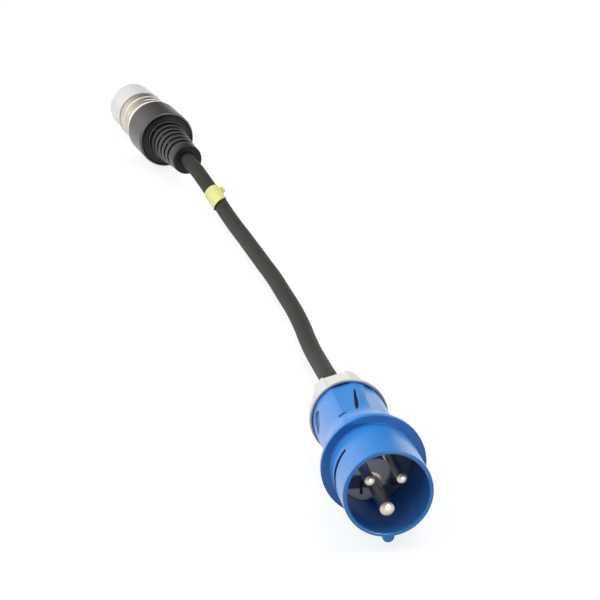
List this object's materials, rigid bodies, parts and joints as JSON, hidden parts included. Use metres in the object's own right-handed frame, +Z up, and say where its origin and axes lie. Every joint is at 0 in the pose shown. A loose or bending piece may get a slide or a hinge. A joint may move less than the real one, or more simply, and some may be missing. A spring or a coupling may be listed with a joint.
{
  "type": "industrial plug on an adapter lead",
  "caption": "Blue industrial pin plug with a pale gland nut, on a short black cable that ends in a round metal connector with a clear dust cap.",
  "frame": {"origin": "on the floor under the middle of the plug's box, without the lead and what is on it", "axes": "+Z up; the plug's mouth points to -Y and about 5 degrees up, and the lead runs off to +Y"},
  "size_m": [0.1097, 0.7061, 0.0525],
  "materials": {
    "blue_plastic": "moulded satin",
    "pale_plastic": "moulded satin",
    "dark_plastic": "moulded matt",
    "nickel": "nickel plated",
    "shell_metal": "turned and nickel plated",
    "steel": "zinc plated",
    "brass": "turned",
    "brown_core": "extruded",
    "blue_core": "extruded",
    "earth_core": "extruded",
    "seal_rubber": "moulded",
    "cable_rubber": "matt sheath",
    "boot_rubber": "moulded satin",
    "black_plastic": "moulded satin",
    "yellow_tape": "tape",
    "clear_plastic": "clear soft plastic"
  },
  "bodies": {
    "plug_and_lead": {"plug_shroud": "blue_plastic", "plug_housing": "blue_plastic", "contact_carrier": "dark_plastic", "live_pin": "nickel", "neutral_pin": "nickel", "earth_pin": "nickel", "terminal_screws": "steel", "live_core": "brown_core", "neutral_core": "blue_core", "earth_core": "earth_core", "gland_seal": "seal_rubber", "cable": "cable_rubber", "cable_label": "yellow_tape", "bend_relief": "boot_rubber", "cord_grip": "dark_plastic", "connector_sleeve": "black_plastic", "connector_cores": "brown_core", "connector_shell": "shell_metal", "shell_seal": "seal_rubber", "contact_insert": "dark_plastic", "socket_contacts": "brass", "ring_clip": "steel"},
    "clamp_cage": {"clamp_cage": "pale_plastic"},
    "gland_nut": {"gland_nut": "pale_plastic"},
    "coupling_ring": {"coupling_ring": "shell_metal"},
    "dust_cap": {"dust_cap": "clear_plastic"}
  },
  "joints": [
    {"name": "clamp_slide", "type": "slide", "parent": "plug_and_lead", "child": "clamp_cage", "axis": [0, 0.9968, -0.0805], "range_m": [0, 0.0041]},
    {"name": "gland_nut_turn", "type": "hinge", "parent": "clamp_cage", "child": "gland_nut", "pos_m": [0, 0.05214, 0.0199], "axis": [0, 0.9968, -0.0805], "range_deg": [0, 720]},
    {"name": "coupling_ring_turn", "type": "hinge", "parent": "plug_and_lead", "child": "coupling_ring", "pos_m": [-0.05819, 0.59597, 0.0207], "axis": [-0.1908, 0.9816, 0], "continuous": true},
    {"name": "dust_cap_pull", "type": "slide", "parent": "plug_and_lead", "child": "dust_cap", "axis": [-0.1908, 0.9816, 0], "range_m": [0, 0.025]}
  ],
  "couplings": [
    {"joint": "clamp_slide", "follows": "gland_nut_turn", "m_per_rad": 0.00031831}
  ]
}
